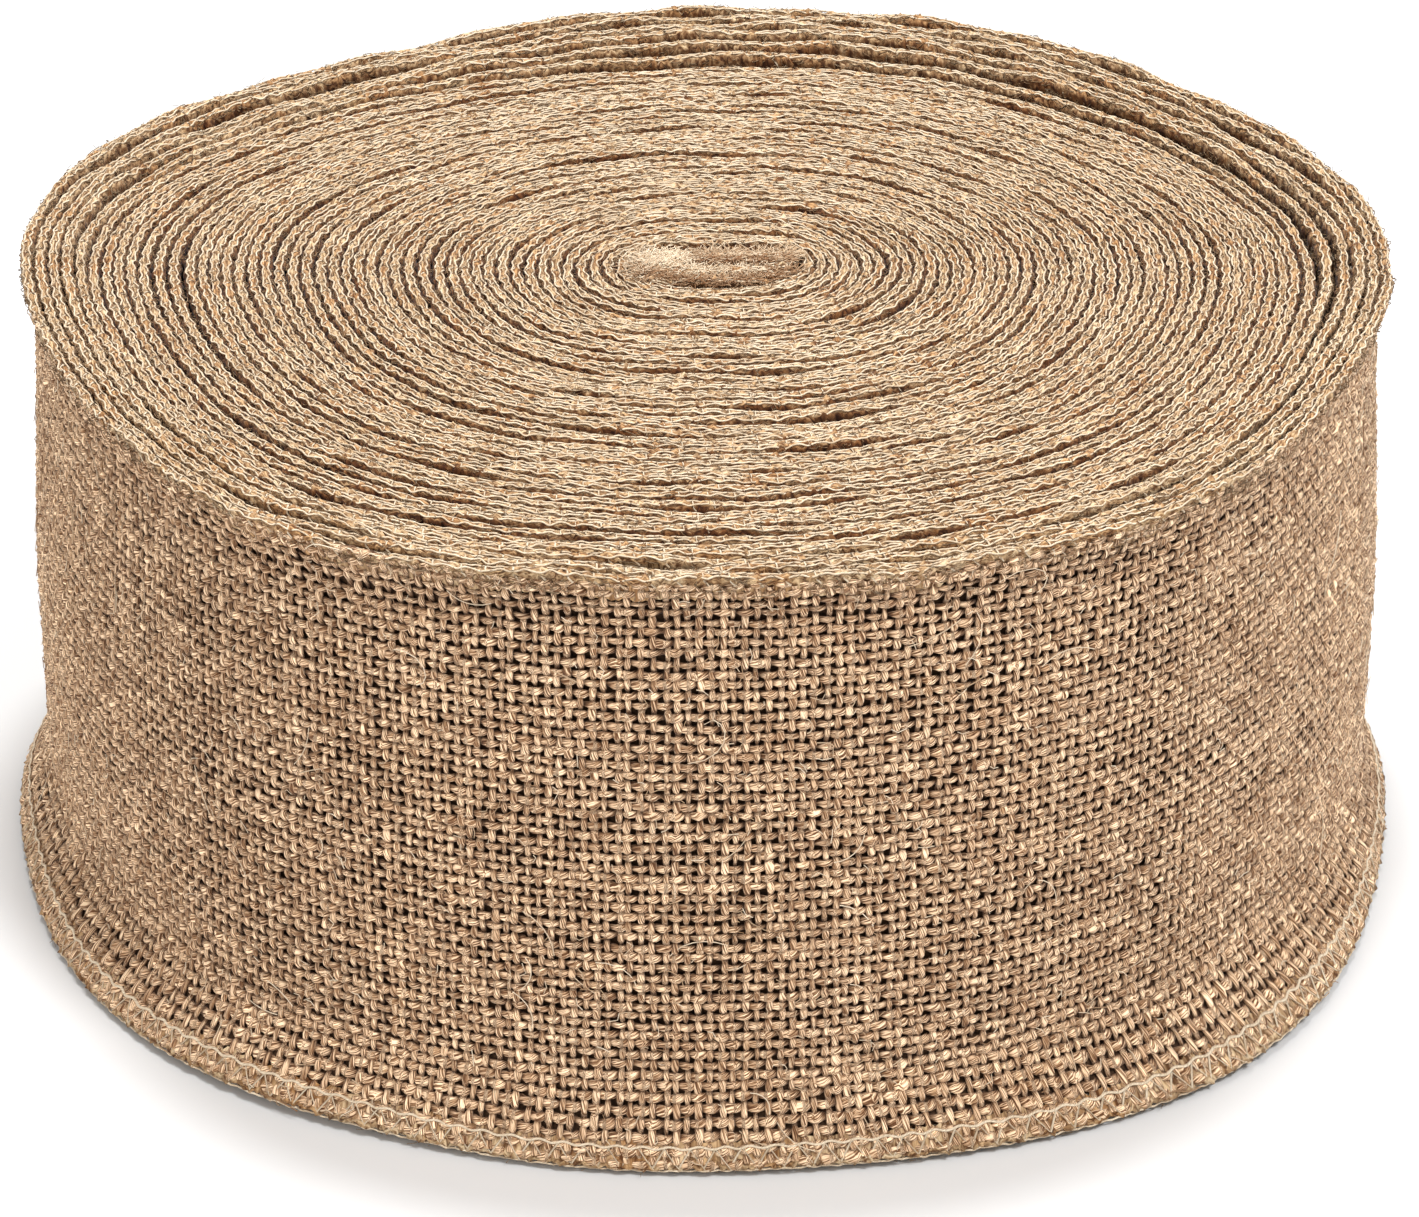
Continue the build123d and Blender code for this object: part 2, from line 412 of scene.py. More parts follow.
class Shader:
    """A small helper round one material's node tree."""

    def __init__(self, name):
        self.material = bpy.data.materials.new(name)
        self.material.use_nodes = True
        self.nodes = self.material.node_tree.nodes
        self.links = self.material.node_tree.links
        self.surface = self.nodes["Principled BSDF"]

    def node(self, kind, inputs=None, **settings):
        node = self.nodes.new(kind)
        for key, value in settings.items():
            setattr(node, key, value)
        for key, value in (inputs or {}).items():
            if isinstance(value, bpy.types.NodeSocket):
                self.links.new(value, node.inputs[key])
            else:
                node.inputs[key].default_value = value
        return node

    def value(self, operation, *terms):
        node = self.node("ShaderNodeMath", dict(enumerate(terms)), operation=operation)
        return node.outputs[0]

    def tag(self, label):
        return self.node("ShaderNodeAttribute", attribute_name=label).outputs["Fac"]

    def noise(self, scale, detail=3.0, stretch=(1, 1, 1)):
        where = self.node("ShaderNodeTexCoord").outputs["Object"]
        mapped = self.node("ShaderNodeMapping", {"Vector": where, "Scale": stretch})
        return self.node(
            "ShaderNodeTexNoise", {"Vector": mapped.outputs[0], "Scale": scale, "Detail": detail}
        ).outputs["Fac"]

    def streaks(self, along_scale, across_scale, detail=3.0):
        """Streaks that run along a band."""
        along = self.value("MULTIPLY", self.tag("along"), along_scale)
        across = self.value("MULTIPLY", self.tag("around"), across_scale)
        vector = self.node("ShaderNodeCombineXYZ", {0: along, 1: across}).outputs[0]
        inputs = {"Vector": vector, "Scale": 1.0, "Detail": detail}
        return self.node("ShaderNodeTexNoise", inputs).outputs["Fac"]

    def strand_noise(self, along_scale, around_scale, twist, detail=3.0):
        """Streaks that run along a strand and wind round it."""
        turned = self.value("ADD", self.tag("around"), self.value("MULTIPLY", self.tag("along"), twist))
        vector = self.node(
            "ShaderNodeCombineXYZ",
            {
                0: self.value("MULTIPLY", self.tag("along"), along_scale),
                1: self.value("MULTIPLY", self.value("SINE", turned), around_scale),
                2: self.value(
                    "ADD",
                    self.value("MULTIPLY", self.value("COSINE", turned), around_scale),
                    self.value("MULTIPLY", self.tag("tone"), 57.0),
                ),
            },
        )
        return self.node(
            "ShaderNodeTexNoise", {"Vector": vector.outputs[0], "Scale": 1.0, "Detail": detail}
        ).outputs["Fac"]

    def ramp(self, factor, *stops):
        node = self.node("ShaderNodeValToRGB", {"Fac": factor})
        elements = node.color_ramp.elements
        while len(elements) < len(stops):
            elements.new(0.5)
        for element, (position, colour) in zip(elements, stops):
            element.position, element.color = position, (*colour, 1)
        return node.outputs["Color"]

    def blend(self, factor, a, b, mode="MIX"):
        node = self.node("ShaderNodeMix", data_type="RGBA", blend_type=mode)
        for index, value in ((0, factor), (6, a), (7, b)):
            if isinstance(value, bpy.types.NodeSocket):
                self.links.new(value, node.inputs[index])
            else:
                node.inputs[index].default_value = value
        return node.outputs[2]

    def finish(self, colour, roughness, height=None, bump=0.5, distance=0.0002, sheen=0.0):
        self.links.new(colour, self.surface.inputs["Base Color"])
        if isinstance(roughness, bpy.types.NodeSocket):
            self.links.new(roughness, self.surface.inputs["Roughness"])
        else:
            self.surface.inputs["Roughness"].default_value = roughness
        self.surface.inputs["Sheen Weight"].default_value = sheen
        self.surface.inputs["Sheen Roughness"].default_value = 0.5
        self.surface.inputs["Specular IOR Level"].default_value = 0.25
        if height is not None:
            node = self.node("ShaderNodeBump", {"Height": height, "Strength": bump, "Distance": distance})
            self.links.new(node.outputs[0], self.surface.inputs["Normal"])
        return self.material


def jute_yarn():
    """Twisted jute: streaks that wind round the yarn, with painted shade where it dips behind others and
    painted light where it comes out on top.
    """
    shader = Shader("jute_yarn")
    fibres = shader.strand_noise(290, 3.2, 600, 4.0)
    patches = shader.noise(60, 2.0)
    colour = shader.ramp(
        fibres,
        (0.40, (0.12, 0.05, 0.02)),
        (0.49, (0.44, 0.267, 0.145)),
        (0.58, (1.0, 0.775, 0.54)),
    )
    # painted shade and light: dark where the yarn dips behind others, lighter than its own colour where it
    # stands furthest out
    depth = shader.ramp(
        shader.tag("exposed"),
        (0.3, (0.12, 0.07, 0.045)),
        (0.62, (0.50, 0.42, 0.37)),
        (0.95, (1.24, 1.24, 1.24)),
    )
    tint = shader.ramp(
        shader.tag("tone"),
        (0.0, (0.62, 0.53, 0.46)),
        (0.3, (0.88, 0.83, 0.79)),
        (0.7, (1.02, 1.01, 1)),
        (1.0, (1.25, 1.24, 1.2)),
    )
    dirt = shader.ramp(patches, (0.3, (0.90, 0.86, 0.82)), (0.6, (1, 1, 1)))
    colour = shader.blend(1.0, colour, depth, "MULTIPLY")
    colour = shader.blend(1.0, colour, tint, "MULTIPLY")
    colour = shader.blend(0.6, colour, dirt, "MULTIPLY")
    return shader.finish(colour, 0.9, fibres, 1.0, 0.0003, 0.1)


def jute_core():
    """The hems' matted jute: pale along the edge, with painted shade that makes it dark brown down in the
    gaps between turns, ragged at its edge.
    """
    shader = Shader("jute_core")
    fibres = shader.streaks(620, 2.6, 4.0)
    patches = shader.noise(90, 2.0)
    colour = shader.ramp(
        fibres,
        (0.38, (0.13, 0.062, 0.028)),
        (0.5, (0.41, 0.275, 0.16)),
        (0.62, (0.74, 0.58, 0.39)),
    )
    tint = shader.ramp(
        shader.tag("tone"),
        (0.0, (0.80, 0.60, 0.42)),
        (0.35, (0.96, 0.88, 0.79)),
        (0.6, (1, 1, 1)),
    )
    # painted shade: darker brown down in the gaps between turns, where shade falls, its edge broken up by
    # noise, and a little lighter on the crest
    raggedness = shader.value("MULTIPLY", shader.noise(900, 3.0), 0.9)
    exposed = shader.value("SUBTRACT", shader.value("ADD", shader.tag("exposed"), raggedness), 0.45)
    depth = shader.ramp(
        exposed,
        (0.0, (0.10, 0.038, 0.014)),
        (0.42, (0.37, 0.235, 0.14)),
        (0.8, (1.1, 1.08, 1.02)),
    )
    dirt = shader.ramp(patches, (0.3, (0.78, 0.70, 0.60)), (0.65, (1, 1, 1)))
    colour = shader.blend(0.8, colour, tint, "MULTIPLY")
    colour = shader.blend(1.0, colour, depth, "MULTIPLY")
    colour = shader.blend(1.0, colour, dirt, "MULTIPLY")
    return shader.finish(colour, 0.95, fibres, 1.0, 0.0006, 0.08)


def seam_thread():
    """Pale plied thread of the overlock."""
    shader = Shader("seam_thread")
    plies = shader.strand_noise(500, 1.6, 3800, 2.0)
    colour = shader.ramp(
        plies,
        (0.25, (0.44, 0.32, 0.20)),
        (0.5, (0.77, 0.64, 0.47)),
        (0.75, (0.95, 0.86, 0.69)),
    )
    tint = shader.ramp(shader.tag("tone"), (0.0, (0.74, 0.68, 0.62)), (1.0, (1, 1, 1)))
    colour = shader.blend(1.0, colour, tint, "MULTIPLY")
    return shader.finish(colour, 0.8, plies, 0.5, 0.0001, 0.1)


def loose_fibre():
    """Single fibres, from brown to pale by their tone."""
    shader = Shader("loose_fibre")
    colour = shader.ramp(
        shader.tag("tone"),
        (0.0, (0.24, 0.105, 0.04)),
        (0.5, (0.56, 0.39, 0.24)),
        (1.0, (0.95, 0.82, 0.63)),
    )
    return shader.finish(colour, 0.8)


def shaded_cloth():
    """The cloth behind the outermost yarns, seen only through the holes between them; its near-black colour
    is painted shade.
    """
    shader = Shader("shaded_cloth")
    fibres = shader.noise(1200, 3.0)
    colour = shader.ramp(fibres, (0.3, (0.020, 0.010, 0.005)), (0.7, (0.09, 0.046, 0.024)))
    return shader.finish(colour, 0.95, fibres, 0.6, 0.0003)


def woven_cloth():
    """The cloth of the turns inside, bared only where the roll is telescoped or the free end peeled."""
    shader = Shader("woven_cloth")
    fibres = shader.noise(900, 3.0)
    uneven = shader.value("MULTIPLY", shader.noise(160, 2.0), 2.5)

    def across_yarns(label):
        phase = shader.value("MULTIPLY", shader.tag(label), pi / YARN_PITCH)
        return shader.value("SINE", shader.value("ADD", phase, uneven))

    along, up = across_yarns("along"), across_yarns("around")
    cover = shader.value("MAXIMUM", shader.value("ABSOLUTE", along), shader.value("ABSOLUTE", up))
    over = shader.value("MULTIPLY", shader.value("MULTIPLY", along, up), 0.14)
    height = shader.value("ADD", cover, over)
    yarn = shader.ramp(fibres, (0.35, (0.26, 0.155, 0.085)), (0.6, (0.66, 0.48, 0.32)))
    # painted shade: dark in the holes between yarns and darker where yarns go under, a little lighter on
    # their crowns
    depth = shader.ramp(
        height,
        (0.42, (0.10, 0.065, 0.045)),
        (0.66, (0.75, 0.72, 0.68)),
        (1.0, (1.1, 1.1, 1.1)),
    )
    return shader.finish(shader.blend(1.0, yarn, depth, "MULTIPLY"), 0.95, height, 1.0, 0.0006)


YARN, CORE, THREAD, HAIR = jute_yarn(), jute_core(), seam_thread(), loose_fibre()
SHADED, WOVEN = shaded_cloth(), woven_cloth()

# ---------------------------------------------------------------- the parts of a stretch


SHEET_MARGIN = 0.8 * MM  # from the sheet's edge to the stitched edge
# how far a stitch's legs reach down the inner and the outer face
TIGHT, LOOSE, BARE = (SHORT_LEG, SHORT_LEG), (LONG_LEG, SHORT_LEG), (LONG_LEG, LONG_LEG)
# a hem's core in section: out of the strip's middle and down from its edge, in millimetres
HEM_SECTION = np.array(
    [[-0.75, 5.6], [-1.42, 2.4], [-1.12, 1.15], [0.0, 0.45], [1.12, 1.15], [1.42, 2.4], [0.75, 5.6]]
)
COARSE_SECTION = [0, 2, 4, 6]  # the points kept where only the underside shows it
# how much painted shade those points get, from 0 darkest to 1 lightest: the sides of tight turns are hidden
# in the gaps between them
TIGHT_EXPOSED = np.array([0.0, 0.08, 0.38, 1.0, 0.38, 0.08, 0.0])
LOOSE_EXPOSED = np.array([0.4, 0.45, 0.65, 1.0, 1.0, 0.95, 0.9])
STITCH_NUMBERS, YARN_NUMBERS = 6000, 12000  # more than the strip has


def steps(start, stop, size):
    """Evenly spaced lengths, about a size apart."""
    return np.linspace(start, stop, max(3, int(round((stop - start) / size)) + 1))


def ground_sheet(name, start, stop, recess):
    """The strip's cloth as one sheet, from edge to edge, set back behind the yarns by the recess."""
    length = steps(start, stop, 2.5 * MM)
    height = np.linspace(0, 1, 13)
    at_length, at_height = np.meshgrid(length, height, indexing="ij")
    low = foot_lift(at_length) + SHEET_MARGIN
    at_z = low + at_height * (RIBBON_WIDTH + rise(at_length) - SHEET_MARGIN - low)
    middle = smooth(at_height / 0.06) * smooth((1 - at_height) / 0.06)
    tags = np.stack([at_length, at_z, 1 + 0 * at_z, 1 + 0 * at_z], -1)
    strands = Strands()
    strands.grid(place(at_length, -recess * middle, at_z), tags)
    # a set-back sheet is painted near black as shade; a flush one gets the painted weave
    sheet = strands.piece(name, SHADED if recess else WOVEN, "burlap")
    return sheet


def edge_height(length, top):
    return RIBBON_WIDTH + rise(length) if top else foot_lift(length)


def in_from_edge(length, down, top):
    """Height of what lies some way in from the top or the bottom edge."""
    return edge_height(length, top) + (-down if top else down)


def per_stitch(seed, number, low, high):
    """A value for each stitch, the same whenever it is asked for."""
    return np.random.default_rng(seed).uniform(low, high, STITCH_NUMBERS)[number.astype(int)]


def hem_core(strands, start, stop, top, fine, legs):
    """The fuzzy jute bead inside the stitches."""
    section, exposed = HEM_SECTION, TIGHT_EXPOSED if legs == TIGHT else LOOSE_EXPOSED
    if not fine:
        section, exposed = section[COARSE_SECTION], exposed[COARSE_SECTION]
    out, down = section.T * MM
    at_length, at_out = np.meshgrid(steps(start, stop, 0.7 * MM if fine else 1.6 * MM), out, indexing="ij")
    at_down, at_exposed = down + 0 * at_length, exposed + 0 * at_length
    if legs != TIGHT:
        # the cloth's own yarns cover the outer face
        at_out = np.where((at_out > 0) & (at_down > 2 * MM), at_out * 0.3, at_out)
    swell = np.sin(pi * at_length / STITCH) ** 2
    at_out = at_out * (0.86 + 0.24 * swell) + random.normal(0, 0.2, at_length.shape) * MM
    at_down = at_down - 0.3 * MM * swell + random.normal(0, 0.25, at_length.shape) * MM
    tone = 0.5 + 0.5 * waves(at_length, (0.013, 0.031, 0.077), 21)
    tags = np.stack([at_length, at_out / MM, tone, at_exposed], -1)
    strands.grid(place(at_length, at_out, in_from_edge(at_length, at_down, top)), tags)


def edge_threads(strands, length, phase, top, fine):
    """The two loopers' threads, which part and meet along the edge, once each stitch."""
    number = np.floor(phase)
    for side in (1, -1):
        swing = np.sin(pi * phase) ** 2 * per_stitch(7 + side, number, 0.5, 1.2)
        out = side * (0.45 + 0.5 * swing) * MM + 0.1 * MM * waves(length, (0.0033, 0.0081), 23 + side)
        down = (0.36 + 0.3 * swing) * MM + 0.1 * MM * waves(length, (0.0023, 0.0041), 19 + side)
        z = in_from_edge(length, down, top)
        tone = per_stitch(11, number, 0.1, 1)[None]
        strands.tubes(length[None], out[None], z[None], 0.205 * MM, 4 if fine else 3, tone)


def cross_threads(strands, middle, tone, start, stop, top, legs):
    """The thread that goes over the edge, and down both faces to the legs' ends, at each stitch."""
    inner_leg, outer_leg = legs
    across = np.array([-1.0, -0.96, -0.55, 0.0, 0.55, 0.96, 1.0])[None] * 0.98 * MM
    down = np.array([inner_leg, 1.3 * MM, 0.35 * MM, 0.12 * MM, 0.35 * MM, 1.3 * MM, outer_leg])[None]
    slant = np.array([-0.55, -0.16, -0.06, 0.0, 0.06, 0.16, 0.5])[None] * STITCH
    reach = np.array([inner_leg, *[2 * MM] * 5, outer_leg])[None] / LONG_LEG
    along = np.clip(middle + slant * np.clip(reach, 0.4, 1), start, stop)
    radius = (0.15 if legs == TIGHT else 0.21) * MM
    strands.tubes(along, across + 0 * along, in_from_edge(along, down, top), radius, 3, tone + 0 * along)


def face_threads(strands, middle, tone, start, stop, length, phase, top, side, leg):
    """On one face, each stitch's slanting leg, and the needle's thread along the legs' ends."""
    t = np.linspace(0, 1, 5)[None]
    along = np.clip(middle + side * (0.12 - 0.62 * t) * STITCH, start, stop)
    z = in_from_edge(along, 0.7 * MM + t * (leg - 0.7 * MM), top)
    strands.tubes(along, side * 0.99 * MM + 0 * along, z, 0.13 * MM, 3, tone + 0 * along)
    out = side * (0.99 + 0.08 * np.cos(tau * phase)) * MM
    z = in_from_edge(length, leg + 0.22 * MM * np.sin(tau * phase), top)
    strands.tubes(length[None], out[None], z[None], 0.21 * MM, 4, 0.9 + 0 * length[None])


def stitches(strands, start, stop, top, fine, legs):
    """The overlock's threads along a stretch of one edge."""
    first, last = np.ceil(start / STITCH), np.floor(stop / STITCH)
    fractions = np.arange(0, 1, 0.1 if fine else 0.17)
    phase = (np.arange(first, last)[:, None] + fractions[None]).ravel()
    phase = np.unique(np.concatenate([[start / STITCH], phase, [stop / STITCH]]))
    length = phase * STITCH + 0.35 * MM * waves(phase * STITCH, (0.0171, 0.0313), 17)
    length = np.clip(length, start, stop)
    edge_threads(strands, length, phase, top, fine)
    if fine:
        knots = np.arange(first, last)
        tone = per_stitch(29, knots, 0.1, 1)[:, None]
        middle = (knots[:, None] + 0.5 + per_stitch(13, knots, -0.1, 0.1)[:, None]) * STITCH
        cross_threads(strands, middle, tone, start, stop, top, legs)
        for side, leg in zip((-1, 1), legs):
            if leg == LONG_LEG:
                face_threads(strands, middle, tone, start, stop, length, phase, top, side, leg)


def fibres(strands, start, stop, per_metre, top):
    """Stray jute fibres that stand out of a hem's edge."""
    count = int((stop - start) * per_metre)
    base = random.uniform(start, stop, count)
    side = random.uniform(-1.0, 1.0, count)
    rise_by = random.uniform(0.1, 1.2, count) * MM
    run = random.normal(0, 1.5, count) * MM
    lean = side + random.normal(0, 0.6, count)
    t = np.linspace(0, 1, 3)[None]
    along = base[:, None] + run[:, None] * t**1.5
    out = (side[:, None] + (lean - side)[:, None] * t) * MM
    way = 1 if top else -0.2
    z = edge_height(along, top) - way * 0.8 * MM + way * rise_by[:, None] * t
    tone = random.uniform(0, 1, count)[:, None] + 0 * t
    strands.tubes(along, out, np.maximum(z, 0.1 * MM), 0.06 * MM, 3, tone)


def nap(strands, start, stop, per_metre, side, depth, radius, painted_depth_shade):
    """Short curled fibres on one face of a top hem, down to a depth below its edge."""
    count = int((stop - start) * per_metre)
    t = np.linspace(0, 1, 4)[None]
    run, curl, droop = (random.normal(0, size, count)[:, None] * MM for size in (1.4, 1.2, 0.9))
    along = random.uniform(start, stop, count)[:, None] + run * t + curl * t**2
    stand = random.uniform(0.1, 0.9, count)[:, None] * MM
    out = side * (0.95 * MM + stand * np.sin(pi * t) ** 0.5)
    down = random.uniform(0.6 * MM, depth, count)[:, None]
    z = edge_height(along, True) - np.maximum(down + droop * t, 0.3 * MM)
    # painted shade: fibres lower down in the gap get darker, browner tones
    tone = random.uniform(0.1, 1.0, count)[:, None] * (1 - painted_depth_shade * down / depth) + 0 * t
    strands.tubes(along, out, z, radius, 3, tone)


# fibres to the metre, side, depth, radius, and how much darker the painted shade makes them at that depth
TIGHT_NAPS = ((750, -1, 2.0 * MM, 0.12 * MM, 0.7), (250, 1, 2.0 * MM, 0.12 * MM, 0.7))
LOOSE_NAPS = ((2400, -1, 5.5 * MM, 0.13 * MM, 0.7), (1000, 1, 4.5 * MM, 0.11 * MM, 0.0))


def hem(name, start, stop, top, fine, legs, fibres_per_metre):
    """One hem of a stretch: its core with stray fibres, and its threads as a second piece."""
    core, threads = Strands(), Strands()
    hem_core(core, start, stop, top, fine, legs)
    if fibres_per_metre:
        fibres(core, start, stop, fibres_per_metre, top)
    if top:
        for one_nap in TIGHT_NAPS if legs == TIGHT else LOOSE_NAPS:
            nap(core, start, stop, *one_nap)
    stitches(threads, start, stop, top, fine, legs)
    return [
        core.piece(f"{name}_core", CORE, "overlocked_hem"),
        threads.piece(f"{name}_thread", THREAD, "overlocked_hem"),
    ]


# the weave starts and ends just inside the stitched edges
WEAVE_LOW, WEAVE_HIGH = 1.8 * MM, RIBBON_WIDTH - 1.7 * MM
ROWS = int(round((WEAVE_HIGH - WEAVE_LOW) / YARN_PITCH))
ROW_PITCH = (WEAVE_HIGH - WEAVE_LOW) / ROWS
# over this depth the yarns' colour goes from painted shade, where they lie hidden, to painted light at the
# outside
YARN_FLATNESS, YARN_DEPTH = 0.72, 1.5 * MM  # the depth is from where yarns lie hidden to the outside
# slubs: wavelength in crossings, size as a share of the yarn
SLUBS = ((1.9, 0.10), (5.3, 0.10), (13.1, 0.08), (29.0, 0.05))
KNOT_SPACING, KNOT_LENGTH, KNOT_SIZE = 60, 2.2, 0.35  # the same, for single thick places
# hairs on the wall: how many to the square metre, length, radius, points along each
WALL_HAIRS = ((32000, 2.2 * MM, 0.09 * MM, 3), (3500, 8 * MM, 0.11 * MM, 7))
WALL_YARNS = (OUTWARD_HALF, 4, 4)  # arc of a yarn that is built, sides, points to a crossing
FREE_YARNS = (ALL_ROUND, 6, 2)


def slub(strand, along, seed):
    """How thick yarns are against the usual, by number and by crossing along them."""
    rng = np.random.default_rng(seed)
    thickness = 1.03 + rng.normal(0, 0.08, YARN_NUMBERS)[strand]
    for wavelength, size in SLUBS:
        phase = rng.uniform(0, tau, YARN_NUMBERS)[strand]
        stretched = rng.uniform(0.7, 1.4, YARN_NUMBERS)[strand]
        thickness = thickness + size * np.sin(tau * along / wavelength * stretched + phase)
    knot_at = rng.uniform(0, KNOT_SPACING, YARN_NUMBERS)[strand]
    away = (along + knot_at) % KNOT_SPACING - KNOT_SPACING / 2
    has_knots = rng.uniform(0, 1, YARN_NUMBERS)[strand] > 0.35
    thickness = thickness + KNOT_SIZE * np.exp(-((away / KNOT_LENGTH) ** 2)) * has_knots
    return np.clip(thickness, 0.6, 1.9)


def wander(strand, along, seed):
    """How far yarns stray sideways from their even places, in pitches."""
    rng = np.random.default_rng(seed)
    each = rng.normal(0, 0.08, YARN_NUMBERS)[strand]
    together = 0.12 * waves(strand * 0.37 + along * 0.11, (5.1, 8.3, 13.7), seed + 1)
    frequency = rng.uniform(0.35, 0.9, YARN_NUMBERS)[strand]
    phase = rng.uniform(0, tau, YARN_NUMBERS)[strand]
    return each + together + 0.08 * np.sin(along * frequency + phase)


def over_bead(z):
    """How much further out the yarns lie where the hems' cores are behind them."""
    return 0.35 * MM * np.maximum(smooth(1 - z / (7 * MM)), smooth(1 - (RIBBON_WIDTH - z) / (7 * MM)))


def float_tones(strand, along, seed):
    """A tone for each place where a yarn comes to the outside, round its yarn's own."""
    rng = np.random.default_rng(seed)
    yarn = rng.uniform(0, 1, YARN_NUMBERS)[strand]
    table = rng.uniform(0, 1, (97, 89))
    each = table[strand % table.shape[0], np.round(along).astype(int) % table.shape[1]]
    return 0.3 * yarn + 0.7 * each


def yarns(name, number, crossing, length, z, over, swing, radius, seed, arc, sides):
    """A set of parallel yarns, by number and by crossing, that swing out where they go over others."""
    strands = Strands()
    thick = radius * slub(number, crossing, seed) * (1 + 0.08 * over) * random.normal(1, 0.07, length.shape)
    tone = float_tones(number, crossing, seed + 10)
    out = swing * over + over_bead(z)
    strands.tubes(length, out, z, thick, sides, tone, YARN_FLATNESS, arc, buried=YARN_DEPTH)
    return strands.piece(name, YARN, "burlap")


def upright_yarns(name, start, stop, arc, sides, per_crossing):
    """The yarns that stand across the strip."""
    column = np.arange(int(round(start / YARN_PITCH)), int(round(stop / YARN_PITCH)))[:, None]
    crossing = np.arange(ROWS * per_crossing + 1)[None] / per_crossing
    length = np.clip((column + 0.5 + wander(column, crossing, 31)) * YARN_PITCH, start, stop)
    z = WEAVE_LOW + crossing * ROW_PITCH + foot_lift(length) * (1 - crossing / ROWS)
    over = -np.cos(pi * (column + crossing))
    return yarns(name, column, crossing, length, z, over, 0.42 * MM, 0.61 * MM, 51, arc, sides)


def lengthwise_yarns(name, start, stop, arc, sides, per_crossing):
    """The yarns that run along the strip."""
    first, last = int(round(start / YARN_PITCH)), int(round(stop / YARN_PITCH))
    row = np.arange(ROWS + 1)[:, None]
    crossing = np.arange(first * per_crossing, last * per_crossing + 1)[None] / per_crossing
    length = crossing * YARN_PITCH + 0 * row
    z = WEAVE_LOW + (row + wander(row, crossing, 71)) * ROW_PITCH + foot_lift(length) * (1 - row / ROWS)
    # floats stand out most halfway between the uprights they go under
    over = np.cos(pi * (crossing - 0.5 + row))
    return yarns(name, row, crossing, length, z, over, 0.45 * MM, 0.72 * MM, 81, arc, sides)


def wall_hairs(name, start, stop):
    """Fine hairs that lie on the weave, short ones everywhere and a few long ones."""
    strands = Strands()
    area = (stop - start) * (WEAVE_HIGH - WEAVE_LOW)
    for per_area, reach, radius, points in WALL_HAIRS:
        count = int(area * per_area)
        t = np.linspace(0, 1, points)[None]
        heading = random.normal(0, 0.8, count)[:, None] + random.normal(0, 0.9, count)[:, None] * t
        run = reach * random.uniform(0.5, 1.5, count)[:, None]
        along = random.uniform(start, stop, count)[:, None] + run * np.cos(heading) * t
        up = random.uniform(WEAVE_LOW, WEAVE_HIGH, count)[:, None] + run * np.sin(heading) * t
        up = np.clip(up, WEAVE_LOW, WEAVE_HIGH)
        sunk, lifted = random.uniform(-0.3, 0.25, count), random.uniform(0, 0.5, count)
        out = (0.8 + sunk[:, None] + lifted[:, None] * t) * MM
        tone = random.uniform(0.1, 1, count)[:, None] + 0 * t
        strands.tubes(np.clip(along, start, stop), out + over_bead(up), up, radius, 3, tone)
    return strands.piece(name, HAIR, "burlap")


def weave(name, start, stop, fineness):
    """Burlap yarns of a stretch: upright ones, and ones along the strip, over and under in turn."""
    return [
        upright_yarns(f"{name}_weft", start, stop, *fineness),
        lengthwise_yarns(f"{name}_warp", start, stop, *fineness),
        wall_hairs(f"{name}_hairs", start, stop),
    ]


# ---------------------------------------------------------------- the strip, stretch by stretch


RECESS, FREE_RECESS = 1.0 * MM, 0.2 * MM  # how far the sheets behind visible yarns are set back
TOP_FIBRES, FOOT_FIBRES = 1400, 300  # to the metre


def ride_all(pieces, body):
    for piece in pieces:
        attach(piece, body)


def blend_all(pieces, start, stop):
    """Pieces between two bodies, from one length along the strip to another: their placement is baked into
    their points, and they are attached to neither body.
    """
    ends = [
        place(np.array([length]), np.array([0.0]), np.array([RIBBON_WIDTH / 2]))[0]
        for length in (start, stop)
    ]
    for piece in pieces:
        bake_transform(piece)


def stretch(name, start, stop, replaces=None, loose=False, recess=0.0):
    """Cloth and both hems between two lengths; replaces is the CAD stretch that they stand for.

    The hems of a loose stretch, one of the last turns, are built in full, as more of them shows.
    """
    top_legs, foot_legs = (LOOSE, BARE) if loose else (TIGHT, TIGHT)
    cloth = ground_sheet(f"{name}_ground", start, stop, recess)
    top = hem(f"{name}_top", start, stop, True, True, top_legs, TOP_FIBRES)
    bottom = hem(f"{name}_bottom", start, stop, False, loose, foot_legs, FOOT_FIBRES if loose else 0)
    if replaces:
        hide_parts(f"{replaces}_web")
        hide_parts(f"{replaces}_top_hem")
        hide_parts(f"{replaces}_bottom_hem")
    return [cloth, *top, *bottom]


def coil_start(coil):
    """Winding angle where a coil starts; coils are numbered from 1, the innermost."""
    return START_ANGLE if coil == 1 else TAIL_ANGLE - (COILS + 1 - coil) * COIL_ANGLE


def snap(angle):
    """Length along the strip at a winding angle, moved to the nearest gap between upright yarns."""
    return round(path.at_angle(angle) / YARN_PITCH) * YARN_PITCH


winding_start = path.angle_marks[0][0]
outside_start = snap(END_ANGLE - 360 - 20)
wall_end = snap(TAIL_ANGLE - SEGMENT_ANGLE / 2)


def build_coil(coil):
    """One coil, less the short ramps where it goes over into its neighbours."""
    body = f"coil_{coil}"
    first = winding_start if coil == 1 else snap(coil_start(coil) + RAMP_ANGLE)
    if coil < COILS:
        last = snap(coil_start(coil + 1) - RAMP_ANGLE)
        ride_all(stretch(body, first, last, body), body)
        return
    middle = snap(coil_start(coil) + COIL_ANGLE / 2)
    ride_all(stretch(f"{body}_inner", first, middle, body, True), body)
    ride_all(stretch(f"{body}_middle", middle, outside_start, None, True), body)
    ride_all(stretch(f"{body}_outside", outside_start, wall_end, None, True, RECESS), body)


